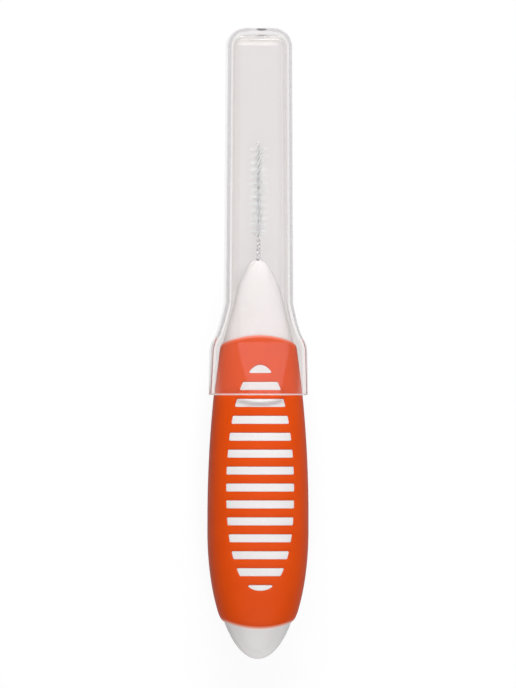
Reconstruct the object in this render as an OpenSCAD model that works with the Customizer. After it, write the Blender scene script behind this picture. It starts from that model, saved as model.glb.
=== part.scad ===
// Interdental brush with its clear travel cap on, lying on its back.
// Each piece is drawn upright: tail tip at zero, cap end up, front towards -Y.
// lay_down() then turns it on its back, with its length along Y and its front up.

/* [Handle] */
// Greatest width of the handle, over the grip
handle_w = 13.5; // [12:0.1:16]
// Greatest thickness of the handle, over the grip
handle_t = 9; // [8:0.1:11]
// Length of the rounded tail, from its tip to the belly
tail_l = 17; // [14:0.5:20]
// Length of the straight belly
belly_l = 2; // [1:0.5:4]
// Length of the narrowing neck, from the belly to the root of the nose
neck_l = 24.4; // [22:0.2:27]
// Radius of the long curve that narrows the neck
flank_r = 160; // [150:5:240]
// Width of the small flat at the tip of the tail
tail_flat = 1.1; // [0.6:0.1:2]
// How square the handle's cross-section is: 2 is an ellipse
handle_square = 2.3; // [2:0.1:2.5]

/* [Nose] */
// Length of the nose that holds the wire, as if it ran to a sharp tip
nose_l = 9.9; // [8:0.1:12]
// How much of that sharp tip is cut off
nose_blunt = 0.2; // [0.15:0.05:0.5]

/* [Grip] */
// Thickness of the soft grip over the core
skin = 0.4; // [0.3:0.05:0.6]
// Height of the grip's lower edge above the tail tip, at the middle of the front
grip_low = 4.1; // [3:0.1:6]
// Length of the nose end of the neck that the grip leaves bare
neck_bare = 0.25; // [0.1:0.05:1]
// Radius of the grip's bowed lower and upper edges
grip_edge_r = 12; // [9:0.5:20]

/* [Slots] */
// Number of slots in the grip
slot_count = 14; // [10:1:16]
// Height of one slot
slot_h = 1.13; // [0.9:0.01:1.3]
// Corner radius of a slot
slot_corner = 0.22; // [0.15:0.01:0.4]
// Distance from the grip's lower edge to the slots
slots_low = 4.9; // [4:0.1:7]
// Distance from the slots to the grip's upper edge
slots_high = 4.1; // [3:0.1:7]
// Distance from the slots to the side of the handle, at the belly
slots_side = 2.2; // [2:0.1:3.5]

/* [Wire] */
// Thickness of the wire
strand_d = 0.25; // [0.2:0.01:0.3]
// Gap between its two twisted strands, where they clamp the bristles
strand_gap = 0.1; // [0.1:0.01:0.14]
// Length of wire held inside the nose
wire_root = 6; // [4:0.5:8]
// Bare length between the nose and the bristles
stem_l = 3; // [2:0.5:8]
// Rise of one full turn along the bare wire
stem_pitch = 1.2; // [1.2:0.02:2]
// Rise of one full turn among the bristles
brush_pitch = 1.84; // [1.5:0.02:2.4]
// Length of the bare loop past the bristles
loop_l = 0.45; // [0.4:0.05:1]

/* [Bristles] */
// Length of the bristled stretch
brush_l = 12.4; // [8:0.2:16]
// Diameter over the bristle tips
brush_d = 2.8; // [2:0.1:4]
// Number of filaments, each held at its middle with both ends out
filament_count = 156; // [150:1:180]
// Thickness of a filament across the wire gap
filament_w = 0.06; // [0.04:0.005:0.065]
// Thickness of a filament along the wire
filament_h = 0.05; // [0.03:0.005:0.05]

/* [Cap] */
// Wall of the cap
cap_wall = 0.7; // [0.5:0.05:0.9]
// Wall of its closed end
cap_end_wall = 0.8; // [0.6:0.1:1.2]
// How far the cap reaches down over the grip
cap_overlap = 7.75; // [6:0.25:10]
// Clearance between the mouth of the cap and the grip
cap_fit = 0.12; // [0.1:0.01:0.3]
// Room between the tip of the wire and the closed end
tip_room = 14.4; // [8:0.2:18]
// Length of the wide skirt
skirt_l = 5.8; // [5:0.1:8]
// How much narrower each side of the skirt is at its top
skirt_draft = 0.17; // [0.05:0.01:0.3]
// Length of the shoulder between skirt and tube
shoulder_l = 6.6; // [6:0.1:9]
// Room inside the tube on each side of the nose, where shoulder and tube meet
nose_room_w = 0.55; // [0.4:0.05:1]
// Room inside the tube before and behind the nose there
nose_room_t = 1.2; // [0.9:0.05:1.5]
// How much narrower each side of the tube is at its closed end
tube_draft = 0.15; // [0.05:0.01:0.3]
// Corner radius of the tube's cross-section
tube_corner = 1.65; // [1.2:0.05:2]
// Width of the flat that is left across the front of the mouth
mouth_flat_w = 2; // [1:0.1:4]
// Depth of the flat that is left down each side of the mouth
mouth_flat_t = 0.6; // [0.4:0.1:2]
// Rounding of the closed end
end_r = 2.5; // [1.2:0.1:2.8]
// Diameter of the vent hole in the closed end
vent_d = 1.1; // [0.8:0.1:1.4]
// Distance of the vent hole to the right of the middle
vent_side = 0.35; // [0:0.05:0.5]

/* [Hidden] */

// Clearance between pieces that are moulded round each other
bond_gap = 0.03;
// Overrun of every cut
over = 1;

// Points round a cross-section, and stretches along each part of an outline
round_steps = 40;
corner_steps = 9;
tail_steps = 8;
neck_steps = 6;
nose_steps = 7;
tube_steps = 3;
end_steps = 4;
wire_sides = 6;
wire_turn_steps = 8;
loop_steps = 6;
slot_levels = 3;
slot_corner_fn = 8;
edge_fn = 96;
bore_fn = 32;

// The nose thins towards its tip as these powers of the distance from the tip
nose_w_share = 0.5;
nose_t_share = 0.4;
// Height of the widest slot, as a share of the slotted length
slots_wide_share = 0.45;
// How full the lower half of the slotted outline is: 2 is an ellipse
slots_full_share = 2.3;
// How much of an end slot's height lies past the middle of the slot row's end
end_slot_share = 0.67;
// Shoulder of the cap: share of its length upwards, and share of its flare left
shoulder_shares = [
    [0, 1], [0.09, 0.955], [0.18, 0.86], [0.27, 0.69], [0.36, 0.55],
    [0.47, 0.42], [0.6, 0.29], [0.75, 0.17], [0.88, 0.07], [1, 0]
];

core_w = handle_w - 2 * skin;
core_t = handle_t - 2 * skin;
neck_start = tail_l + belly_l;
nose_start = neck_start + neck_l;
nose_tip = nose_start + nose_l - nose_blunt;
grip_high = nose_start - neck_bare;

slots_start = grip_low + slots_low;
slots_end = grip_high - slots_high;
slots_l = slots_end - slots_start;
slots_w = handle_w - 2 * slots_side;
slots_widest = slots_start + slots_l * slots_wide_share;
slot_pitch = (slots_l - slot_h * end_slot_share) / (slot_count - 1);
first_slot = slots_start + slot_h * end_slot_share / 2;

strand_r = strand_d / 2;
strand_orbit = strand_r + strand_gap / 2;
pair_r = strand_orbit + strand_r;
wire_start = nose_tip - wire_root;
brush_start = nose_tip + stem_l;
wire_tip = brush_start + brush_l + loop_l;
strand_top = wire_tip - pair_r;
stem_turn = 360 * (brush_start - wire_start) / stem_pitch;
brush_turn = 360 * (strand_top - brush_start) / brush_pitch;
wire_turn = stem_turn + brush_turn;
wire_steps = ceil(wire_turn / 360 * wire_turn_steps);
filament_pitch = brush_l / filament_count;

cap_seat = grip_high - cap_overlap;
skirt_top = cap_seat + skirt_l;
tube_start = skirt_top + shoulder_l;
cap_inside = wire_tip + tip_room;
cap_top = cap_inside + cap_end_wall;
mouth_w = 2 * (half_size(cap_seat, core_w / 2) + skin + cap_fit + cap_wall);
mouth_t = 2 * (half_size(cap_seat, core_t / 2) + skin + cap_fit + cap_wall);
tube_w = 2 * (nose_station(tube_start)[1] + nose_room_w + cap_wall);
tube_t = 2 * (nose_station(tube_start)[2] + nose_room_t + cap_wall);
lie_h = max(handle_t, mouth_t) / 2;

// Half width or half thickness of the core's body at height z, from its half at the belly
function half_size(z, belly) =
    z < tail_l ? max(tail_flat / 2 * belly / (core_w / 2),
                     belly * sqrt(1 - pow((tail_l - z) / tail_l, 2)))
    : z < neck_start ? belly
    : belly - pow(z - neck_start, 2) / (2 * flank_r);

// Sine or cosine with its sign kept and its size raised, which squares up an ellipse
function squared_up(value) = sign(value) * pow(abs(value), 2 / handle_square);

// Ring of points round the handle at a station: [height, half width, half thickness]
function handle_ring(station) = [
    for (i = [0 : round_steps - 1])
        let (a = 360 * i / round_steps)
        [station[1] * squared_up(cos(a)), station[2] * squared_up(sin(a)), station[0]]
];

// Two triangles between corner a, its neighbour b and the two corners above them
function wall(a, b, a_up, b_up) = [[a, a_up, b_up], [a, b_up, b]];

// Triangles between ring number k and the next one, of n points each, starting at point start
function band_faces(k, next, n) = [
    for (i = [0 : n - 1])
        let (j = (i + 1) % n)
            each wall(k * n + i, k * n + j, next * n + i, next * n + j)
];

// A skin through rings of points in order, closed at its first and last ring
module loft(rings) {
    n = len(rings[0]);
    last = len(rings) - 1;
    faces = concat(
        [[for (i = [0 : n - 1]) i]],
        [for (k = [0 : last - 1]) each band_faces(k, k + 1, n)],
        [[for (i = [n - 1 : -1 : 0]) last * n + i]]
    );
    polyhedron(points = [for (r = rings) each r], faces = faces);
}

// A skin through rings in order that joins its last ring to its first, as a sleeve does
module sleeve(rings) {
    n = len(rings[0]);
    count = len(rings);
    faces = [for (k = [0 : count - 1]) each band_faces(k, (k + 1) % count, n)];
    polyhedron(points = [for (r = rings) each r], faces = faces);
}

// Turns an upright piece on its back, with the middle of the whole over the origin
module lay_down() {
    translate([0, -cap_top / 2, lie_h]) rotate([-90, 0, 0]) children();
}

// Heights of the stations along the body, and one station of it, thicker by extra
body_heights = concat(
    [for (i = [0 : tail_steps]) tail_l * pow(i / tail_steps, 2)],
    [for (i = [0 : neck_steps]) neck_start + neck_l * i / neck_steps]
);
function body_station(z, extra) = [
    z, half_size(z, core_w / 2) + extra, half_size(z, core_t / 2) + extra
];

// One station of the nose at height z, thinning towards the sharp tip that it would have
function nose_station(z) =
    let (share = max(0, (nose_start + nose_l - z) / nose_l))
    [
        z,
        half_size(nose_start, core_w / 2) * pow(share, nose_w_share),
        half_size(nose_start, core_t / 2) * pow(share, nose_t_share)
    ];

// Hard white core: tail, ribs behind the slots and the nose, moulded round the wire
module handle_core() {
    nose_heights = [
        for (i = [nose_steps - 1 : -1 : 0])
            nose_tip - (nose_tip - nose_start) * pow(i / nose_steps, 2)
    ];
    color("whitesmoke") lay_down() difference() {
        loft(concat(
            [for (z = body_heights) handle_ring(body_station(z, 0))],
            [for (z = nose_heights) handle_ring(nose_station(z))]
        ));
        translate([0, 0, wire_start - strand_r - bond_gap])
            cylinder(r = pair_r + bond_gap, h = wire_root + strand_d + over, $fn = bore_fn);
    }
}

// Extrudes an outline of the front right through the handle
module through() {
    rotate([90, 0, 0])
        linear_extrude(height = handle_t + 2 * over, center = true)
            children();
}

// Half width of the slotted outline at height z
function slots_half(z) =
    let (
        up = z > slots_widest,
        reach = up ? slots_end - slots_widest : slots_widest - slots_start,
        full = up ? 2 : slots_full_share,
        off = min(1, abs(z - slots_widest) / reach)
    )
    slots_w / 2 * pow(1 - pow(off, full), 1 / full);

// Outline of one slot: its ends follow the slotted outline, its corners are round
module slot_outline(z) {
    low = max(z - slot_h / 2, slots_start) + slot_corner;
    high = min(z + slot_h / 2, slots_end) - slot_corner;
    hull() {
        for (i = [0 : slot_levels - 1], side = [-1, 1]) {
            level = low + (high - low) * i / (slot_levels - 1);
            reach = max(slots_half(level) - slot_corner, 0);
            translate([side * reach, level]) circle(r = slot_corner, $fn = slot_corner_fn);
        }
    }
}

// Soft orange grip moulded round the core, slotted through at front and back
module grip() {
    heights = [for (z = body_heights) if (z > grip_low - over * 2) z];
    backwards = [for (i = [len(heights) - 1 : -1 : 0]) heights[i]];
    color("orangered") lay_down() difference() {
        intersection() {
            sleeve(concat(
                [for (z = heights) handle_ring(body_station(z, skin))],
                [for (z = backwards) handle_ring(body_station(z, bond_gap))]
            ));
            through() hull() {
                for (z = [grip_low + grip_edge_r, grip_high - grip_edge_r])
                    translate([0, z]) circle(r = grip_edge_r, $fn = edge_fn);
            }
        }
        for (i = [0 : slot_count - 1])
            through() slot_outline(first_slot + slot_pitch * i);
    }
}

// Height at which the strands have turned by an angle, and their left-hand turn at a height
function turned_height(a) =
    a < stem_turn ? wire_start + a / 360 * stem_pitch
    : brush_start + (a - stem_turn) / 360 * brush_pitch;
function strand_angle(z) =
    z < brush_start ? -360 * (z - wire_start) / stem_pitch
    : -stem_turn - 360 * (z - brush_start) / brush_pitch;

// Direction away from the middle at an angle, and a point of one strand with that direction
function outward(a) = [cos(a), sin(a), 0];
function strand_point(z, side) =
    let (out = side * outward(strand_angle(z)))
    [out * strand_orbit + [0, 0, z], out];

// The whole wire: one strand up, the bend at the tip, the other strand down
wire_path = concat(
    [for (i = [0 : wire_steps]) strand_point(turned_height(wire_turn * i / wire_steps), 1)],
    [for (i = [1 : loop_steps - 1])
        let (
            a = 180 * i / loop_steps,
            out = cos(a) * outward(strand_angle(strand_top)) + [0, 0, sin(a)]
        )
        [out * strand_orbit + [0, 0, strand_top], out]],
    [for (i = [wire_steps : -1 : 0]) strand_point(turned_height(wire_turn * i / wire_steps), -1)]
);

// Ring of the wire round a point of its path, square to the path there
function wire_ring(k) =
    let (
        ahead = wire_path[min(k + 1, len(wire_path) - 1)][0],
        behind = wire_path[max(k - 1, 0)][0],
        along = (ahead - behind) / norm(ahead - behind),
        out = wire_path[k][1],
        flat_out = out - (out * along) * along,
        n = flat_out / norm(flat_out),
        b = cross(along, n)
    )
    [for (i = [0 : wire_sides - 1])
        let (a = 360 * i / wire_sides)
        wire_path[k][0] + strand_r * (cos(a) * n + sin(a) * b)];

// Stainless wire, folded in two and twisted
module wire_stem() {
    color("silver") lay_down() loft([for (k = [0 : len(wire_path) - 1]) wire_ring(k)]);
}

// Corners of one filament: eight below and eight above, with the held middle between its ends
function filament_points(k) =
    let (
        z = brush_start + filament_pitch * (k + 1 / 2),
        a = strand_angle(z) + 90,
        along = outward(a),
        across = outward(a + 90) * filament_w / 2,
        reaches = [-brush_d / 2, -strand_gap, strand_gap, brush_d / 2]
    )
    [for (level = [-1, 1], side = [-1, 1], i = [0 : 3])
        let (reach = reaches[side < 0 ? i : 3 - i])
        along * reach + across * side + [0, 0, z + level * filament_h / 2]];

// Faces of the filament whose corners start at s: its sides, then its free undersides and tops
function filament_faces(s) = concat(
    [for (i = [0 : 7])
        let (j = (i + 1) % 8)
        each wall(s + i, s + j, s + i + 8, s + j + 8)],
    [for (w = [[0, 1, 6, 7], [2, 3, 4, 5], [15, 14, 9, 8], [13, 12, 11, 10]])
        each [[s + w[0], s + w[1], s + w[2]], [s + w[0], s + w[2], s + w[3]]]]
);

// Nylon filaments, joined by the slice of their middles that the strands clamp
module bristles() {
    middle = [1, 2, 5, 6];
    last = (filament_count - 1) * 16;
    joints = [
        for (k = [0 : filament_count - 2], i = [0 : 3])
            let (
                a = k * 16 + middle[i],
                b = k * 16 + middle[(i + 1) % 4]
            )
            each wall(a + 8, b + 8, a + 16, b + 16)
    ];
    faces = concat(
        [[1, 2, 5], [1, 5, 6]],
        [for (k = [0 : filament_count - 1]) each filament_faces(k * 16)],
        joints,
        [[last + 14, last + 13, last + 10], [last + 14, last + 10, last + 9]]
    );
    color("gainsboro") lay_down()
        polyhedron(points = [for (k = [0 : filament_count - 1]) each filament_points(k)], faces = faces);
}

// Corner radii of the cap's cross-section at height z, across its width and its depth
function cap_corners(z) =
    let (share = max(0, (tube_start - z) / (tube_start - cap_seat)))
    [
        tube_corner + ((mouth_w - mouth_flat_w) / 2 - tube_corner) * share,
        tube_corner + ((mouth_t - mouth_flat_t) / 2 - tube_corner) * share
    ];

// Ring of points round the cap: a rectangle with a rounded corner in each quarter
function cap_ring(z, half_w, half_t, corners) = [
    for (q = [0 : 3], i = [0 : corner_steps])
        let (
            a = 90 * (q + i / corner_steps),
            side_w = q == 0 || q == 3 ? 1 : -1,
            side_t = q < 2 ? 1 : -1
        )
        [
            side_w * (half_w - corners[0]) + corners[0] * cos(a),
            side_t * (half_t - corners[1]) + corners[1] * sin(a),
            z
        ]
];

// The same ring drawn in by inset all round, for the inside of a wall
function cap_wall_ring(z, half_w, half_t, inset) =
    cap_ring(z, half_w - inset, half_t - inset, cap_corners(z) - [inset, inset]);

// Rings of the cap's skirt and shoulder, from the mouth up, drawn in by inset
function cap_side(inset) = concat(
    [cap_wall_ring(cap_seat, mouth_w / 2, mouth_t / 2, inset)],
    [for (s = shoulder_shares)
        cap_wall_ring(
            skirt_top + shoulder_l * s[0],
            tube_w / 2 + (mouth_w / 2 - skirt_draft - tube_w / 2) * s[1],
            tube_t / 2 + (mouth_t / 2 - skirt_draft - tube_t / 2) * s[1],
            inset
        )]
);

// Rings of the tube and its rounded closed end, whose flat lies at height top
function cap_end(top, inset) =
    let (
        round_r = end_r - inset,
        straight_l = top - round_r - tube_start,
        half_w = tube_w / 2 - tube_draft - inset,
        half_t = tube_t / 2 - inset,
        corner = tube_corner - inset
    )
    concat(
        [for (i = [1 : tube_steps])
            cap_wall_ring(
                tube_start + straight_l * i / tube_steps,
                tube_w / 2 - tube_draft * i / tube_steps, tube_t / 2, inset
            )],
        [for (i = [1 : end_steps])
            let (
                a = 90 * i / end_steps,
                in = round_r * (1 - cos(a))
            )
            cap_ring(
                top - round_r * (1 - sin(a)), half_w - in, half_t - in,
                [corner * (half_w - in) / half_w, corner * (half_t - in) / half_t]
            )]
    );

// Clear travel cap: skirt, shoulder, tube and closed end with a vent hole
module cap() {
    inner = concat(cap_side(cap_wall), cap_end(cap_inside, cap_wall));
    inwards = [for (i = [len(inner) - 1 : -1 : 0]) inner[i]];
    color([0.9, 0.9, 0.9, 0.35]) lay_down() difference() {
        loft(concat(inwards, cap_side(0), cap_end(cap_top, 0)));
        translate([vent_side, 0, cap_inside - over])
            cylinder(d = vent_d, h = cap_end_wall + 2 * over, $fn = bore_fn);
    }
}

handle_core();
grip();
wire_stem();
bristles();
cap();
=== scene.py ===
# Capped interdental brush: the looks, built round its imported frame
import math
import bmesh
import bpy
import numpy as np
from mathutils import Matrix, Vector
from mathutils.geometry import convex_hull_2d, delaunay_2d_cdt


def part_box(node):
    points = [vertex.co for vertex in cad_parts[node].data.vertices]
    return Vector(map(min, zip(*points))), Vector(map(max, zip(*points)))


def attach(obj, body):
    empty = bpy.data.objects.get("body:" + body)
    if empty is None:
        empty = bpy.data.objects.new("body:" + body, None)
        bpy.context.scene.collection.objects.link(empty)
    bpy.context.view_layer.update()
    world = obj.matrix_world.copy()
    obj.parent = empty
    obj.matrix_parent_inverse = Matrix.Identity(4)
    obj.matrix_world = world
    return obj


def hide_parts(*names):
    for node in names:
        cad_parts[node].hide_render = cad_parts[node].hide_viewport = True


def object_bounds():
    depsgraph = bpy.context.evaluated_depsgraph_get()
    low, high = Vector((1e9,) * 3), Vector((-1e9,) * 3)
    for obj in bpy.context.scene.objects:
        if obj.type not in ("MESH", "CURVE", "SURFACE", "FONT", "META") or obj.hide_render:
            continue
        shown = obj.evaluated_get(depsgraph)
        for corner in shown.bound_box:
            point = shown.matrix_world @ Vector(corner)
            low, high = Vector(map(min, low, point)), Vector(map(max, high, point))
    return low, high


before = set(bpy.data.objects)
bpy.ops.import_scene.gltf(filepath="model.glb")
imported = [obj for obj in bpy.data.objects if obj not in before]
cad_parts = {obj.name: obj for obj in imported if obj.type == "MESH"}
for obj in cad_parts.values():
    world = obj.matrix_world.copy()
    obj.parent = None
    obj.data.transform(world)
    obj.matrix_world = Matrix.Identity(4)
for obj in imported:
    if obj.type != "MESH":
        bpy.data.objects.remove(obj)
cadLow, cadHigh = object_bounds()
mm = 0.001  # shapes are worked out in millimetres and written in metres

coreLow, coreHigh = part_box("handle_core")
gripLow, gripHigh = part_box("grip")
wireLow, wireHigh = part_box("wire_stem")
brushLow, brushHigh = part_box("bristles")
capLow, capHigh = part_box("cap")
tailY = coreLow.y  # distances along the brush are counted from the tip of its tail
axisZ = (gripLow.z + gripHigh.z) / 2
print("frame loaded, %.1f mm long" % ((cadHigh.y - cadLow.y) / mm))


def along(y):
    return (y - tailY) / mm


def place(points):  # across, along and above the brush's middle, in mm, to the frame in metres
    points = np.asarray(points, float)
    return np.column_stack([points[:, 0] * mm, tailY + points[:, 1] * mm, axisZ + points[:, 2] * mm])


# Handle: one long body under everything, measured from the frame where the frame has it
handle = {
    "halfWidth": (gripHigh.x - gripLow.x) / 2 / mm,
    "halfDepth": (gripHigh.z - gripLow.z) / 2 / mm,
    "skin": 0.4,          # soft grip over the hard core
    "tail": 17,           # rounded tail, up to the belly
    "belly": 2,           # straight belly
    "flankRadius": 160,   # long curve that narrows the neck
    "noseLength": 9.9,    # nose, as if it ran to a sharp tip
    "noseBlunt": 0.2,     # what is cut off that tip
    "noseWidthPower": 0.5,
    "noseDepthPower": 0.4,
    "square": 2.3,        # cross-section, where 2 is an ellipse
    "panelShare": 0.8,    # share of the width that counts as front or back
    "panelSteps": 40,
    "sideSteps": 24,
}
noseTip = along(coreHigh.y)
neckStart = handle["tail"] + handle["belly"]
noseStart = noseTip + handle["noseBlunt"] - handle["noseLength"]
coreHalfWidth = handle["halfWidth"] - handle["skin"]
coreHalfDepth = handle["halfDepth"] - handle["skin"]


def bodyHalf(s, belly):  # half width or half depth of the core's body at s
    inTail = (handle["tail"] - np.minimum(s, handle["tail"])) / handle["tail"]
    tail = belly * np.sqrt(np.clip(1 - inTail ** 2, 0, 1))
    neck = belly - np.maximum(s - neckStart, 0) ** 2 / (2 * handle["flankRadius"])
    return np.where(s < handle["tail"], tail, neck)


def coreHalves(s):  # half width and half depth of the core, nose included
    s = np.asarray(s, float)
    share = np.clip((noseStart + handle["noseLength"] - s) / handle["noseLength"], 0, 1)
    root = float(noseStart)
    noseWidth = bodyHalf(root, coreHalfWidth) * share ** handle["noseWidthPower"]
    noseDepth = bodyHalf(root, coreHalfDepth) * share ** handle["noseDepthPower"]
    onNose = s > noseStart
    return (np.where(onNose, noseWidth, bodyHalf(s, coreHalfWidth)),
            np.where(onNose, noseDepth, bodyHalf(s, coreHalfDepth)))


def edgeDepth(x):  # how high the unit cross-section stands at x
    return (1 - np.abs(x) ** handle["square"]) ** (1 / handle["square"])


# Columns of the unit cross-section: right side, front, left side, back
panelX = np.linspace(handle["panelShare"], -handle["panelShare"], handle["panelSteps"] + 1)
panelZ = edgeDepth(panelX)
sideEdge = math.acos(handle["panelShare"] ** (handle["square"] / 2))
sideAngle = np.linspace(-sideEdge, sideEdge, handle["sideSteps"] + 1)
sideX = np.abs(np.cos(sideAngle)) ** (2 / handle["square"])
sideZ = np.sign(sideAngle) * np.abs(np.sin(sideAngle)) ** (2 / handle["square"])
sideX[[0, -1]] = handle["panelShare"]
sideZ[[0, -1]] = [-panelZ[0], panelZ[0]]
ringX = np.concatenate([sideX, panelX[1:-1], -sideX, -panelX[1:-1]])
ringZ = np.concatenate([sideZ, panelZ[1:-1], sideZ[::-1], -panelZ[1:-1]])

# Slots of the grip, which the white ribs of the core come up through
slots = {
    "count": 14,
    "height": 1.11,
    "corner": 0.17,
    "first": 5.28,         # middle of the first slot, from the grip's lower edge
    "last": 4.48,          # middle of the last one, from its upper edge
    "low": 5.03,           # from the lower edge to the leaf shape that the slots fill
    "high": 3.9,           # from that shape to the upper edge
    "side": 2.14,          # from it to the side of the handle, where it is widest
    "widest": 18.4,        # place of its widest point, from the lower edge
    "lowFullness": 2.3,    # of its lower half, where 2 is an ellipse
    "highFullness": 2.0,
    "levels": 11,
    "step": 0.3,           # mesh spacing along a slot's straight edge
    "turn": math.radians(20),
    "leafSteps": 800,      # points along the leaf shape
    "apart": 0.6,          # how near other points come to a slot, as a share of the step
    "merge": 1e-5,         # points nearer than this are one
    "spare": 0.01,         # lets in the last point of a row
}
gripStart, gripEnd = along(gripLow.y), along(gripHigh.y)
leafStart, leafEnd = gripStart + slots["low"], gripEnd - slots["high"]
leafWidest = gripStart + slots["widest"]
firstSlot = gripStart + slots["first"]
slotPitch = (gripEnd - slots["last"] - firstSlot) / (slots["count"] - 1)


def leafHalf(s):  # half width of the leaf shape at s
    above = s > leafWidest
    reach = np.where(above, leafEnd - leafWidest, leafWidest - leafStart)
    full = np.where(above, slots["highFullness"], slots["lowFullness"])
    off = np.minimum(np.abs(s - leafWidest) / reach, 1)
    return (handle["halfWidth"] - slots["side"]) * (1 - off ** full) ** (1 / full)


# The leaf shape drawn in by the corner radius, where the corners' centres may lie
leafTurn = np.linspace(-math.pi / 2, math.pi / 2, slots["leafSteps"] + 1)
leafS = leafWidest + np.sin(leafTurn) * np.where(leafTurn > 0, leafEnd - leafWidest, leafWidest - leafStart)
leafX = leafHalf(leafS)
leafSlope = np.gradient(leafX), np.gradient(leafS)
leafInset = slots["corner"] / np.hypot(*leafSlope)
insetS, insetX = leafS + leafInset * leafSlope[0], leafX - leafInset * leafSlope[1]


def slotCentres(k):  # centres of the round corners of slot k, as a convex outline
    middle = firstSlot + slotPitch * k
    low = max(middle - slots["height"] / 2, leafStart) + slots["corner"]
    high = min(middle + slots["height"] / 2, leafEnd) - slots["corner"]
    points = []
    for turn in np.linspace(-math.pi / 2, math.pi / 2, slots["levels"]):
        level = (low + high) / 2 + (high - low) / 2 * math.sin(turn)
        reach = max(float(np.interp(level, insetS, insetX)), 0)
        points += [Vector((reach, level)), Vector((-reach, level))]
    return [points[i] for i in convex_hull_2d(points)]


centres = [slotCentres(k) for k in range(slots["count"])]


def slotLoop(outline, radius):  # the outline swelled by radius, with round corners
    loop = []
    for i, here in enumerate(outline):
        before, after = outline[i - 1], outline[(i + 1) % len(outline)]
        arrive = math.atan2(here.y - before.y, here.x - before.x) - math.pi / 2
        leave = math.atan2(after.y - here.y, after.x - here.x) - math.pi / 2
        turn = (leave - arrive) % (2 * math.pi)
        steps = max(1, math.ceil(turn / slots["turn"]))
        for n in range(steps + 1):
            a = arrive + turn * n / steps
            loop.append((here.x + radius * math.cos(a), here.y + radius * math.sin(a)))
        length = (after - here).length
        pieces = max(1, round(length / slots["step"]))
        for n in range(1, pieces):
            point = here.lerp(after, n / pieces)
            loop.append((point.x + radius * math.cos(leave), point.y + radius * math.sin(leave)))
    return loop


def outlineDistance(points, outline):  # signed distance to a convex outline, negative inside
    nearest = np.full(len(points), np.inf)
    inside = np.ones(len(points), bool)
    for i, here in enumerate(outline):
        after = outline[(i + 1) % len(outline)]
        edge = np.array([after.x - here.x, after.y - here.y])
        off = points - np.array([here.x, here.y])
        share = np.clip(off @ edge / max(edge @ edge, 1e-12), 0, 1)
        nearest = np.minimum(nearest, np.hypot(*(off - share[:, None] * edge).T))
        inside &= edge[0] * off[:, 1] - edge[1] * off[:, 0] >= 0
    return np.where(inside, -nearest, nearest)


def slotDistance(points):  # signed distance to the nearest slot's edge, negative in the slot
    points = np.asarray(points, float)
    found = np.full(len(points), np.inf)
    for outline in centres:
        near = np.abs(points[:, 1] - sum(p.y for p in outline) / len(outline)) < slotPitch
        if near.any():
            found[near] = np.minimum(found[near], outlineDistance(points[near], outline) - slots["corner"])
    return found


def newSheet():
    return {"index": {}, "points": [], "faces": []}


def sheetPoint(sheet, x, z, s):  # one point of a sheet: unit cross-section and distance along
    key = (round(float(x), 7), round(float(z), 7), round(float(s), 7))
    if key not in sheet["index"]:
        sheet["index"][key] = len(sheet["points"])
        sheet["points"].append((float(x), float(z), float(s)))
    return sheet["index"][key]


def addBand(sheet, first, second):  # faces between two rings of points
    for i in range(len(first)):
        j = (i + 1) % len(first)
        sheet["faces"].append((first[i], second[i], second[j], first[j]))


# Front and back of the slotted stretch, meshed round the slots' outlines
def addPatch(sheet, rows, loopOffsets, keepSlots, midLines):
    def half(s):
        return coreHalves(s)[0] + handle["skin"]

    low, high = rows[0], rows[-1]
    share = handle["panelShare"]
    border = [(x * half(low), low) for x in panelX[::-1]]
    border += [(share * half(s), s) for s in rows[1:-1]]
    border += [(x * half(high), high) for x in panelX]
    border += [(-share * half(s), s) for s in rows[-2:0:-1]]
    units = list(panelX[::-1]) + [share] * (len(rows) - 2) + list(panelX) + [-share] * (len(rows) - 2)
    points = list(border)
    edges = [(i, (i + 1) % len(border)) for i in range(len(border))]
    for outline in centres:
        for offset in loopOffsets:
            loop = slotLoop(outline, slots["corner"] + offset)
            edges += [(len(points) + i, len(points) + (i + 1) % len(loop)) for i in range(len(loop))]
            points += loop
    lines = []
    for k in range(slots["count"] - (1 if midLines == "bars" else 0)):
        level = firstSlot + slotPitch * (k + (0.5 if midLines == "bars" else 0))
        reach = max(float(leafHalf(level)) - slots["corner"] * 2, 0)
        lines += [(x, level) for x in np.arange(-reach, reach + slots["spare"], slots["step"])]
    points += lines
    inner = panelX[1:-1:2]
    spread = np.array([(x * half(s), s) for s in rows[1:-1] for x in inner])
    free = slotDistance(spread) > max(max(loopOffsets), 0) + slots["step"] * slots["apart"]
    if midLines == "bars":
        free &= np.abs(spread[:, 0]) > leafHalf(spread[:, 1])
    points += [tuple(p) for p in spread[free]]
    found = delaunay_2d_cdt([Vector(p) for p in points], edges, [], 1, slots["merge"])
    where, triangles, sources = found[0], found[2], found[3]
    places = np.array([(p.x, p.y) for p in where])
    unitX = places[:, 0] / half(places[:, 1])
    for i, source in enumerate(sources):
        ours = [n for n in source if n < len(border)]
        if ours:  # a border point keeps the exact numbers that its neighbours have
            unitX[i], places[i, 1] = units[ours[0]], border[ours[0]][1]
    middles = places[np.array(triangles)].mean(axis=1)
    wanted = np.ones(len(triangles), bool) if keepSlots else slotDistance(middles) > 0
    heights = edgeDepth(unitX)
    for side in (1, -1):
        ids = [sheetPoint(sheet, unitX[i], side * heights[i], places[i, 1]) for i in range(len(places))]
        for face, take in zip(triangles, wanted):
            if take:
                corners = [ids[n] for n in face]
                sheet["faces"].append(tuple(corners[::-1] if side > 0 else corners))


def addSides(sheet, rows):  # the two sides between the front and the back patch
    for sign in (1, -1):
        for a, b in zip(rows[:-1], rows[1:]):
            for x0, z0, x1, z1 in zip(sideX[:-1], sideZ[:-1], sideX[1:], sideZ[1:]):
                corners = [(x0, z0, a), (x1, z1, a), (x1, z1, b), (x0, z0, b)]
                sheet["faces"].append(tuple(sheetPoint(sheet, sign * x, z, s) for x, z, s in corners))


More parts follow.
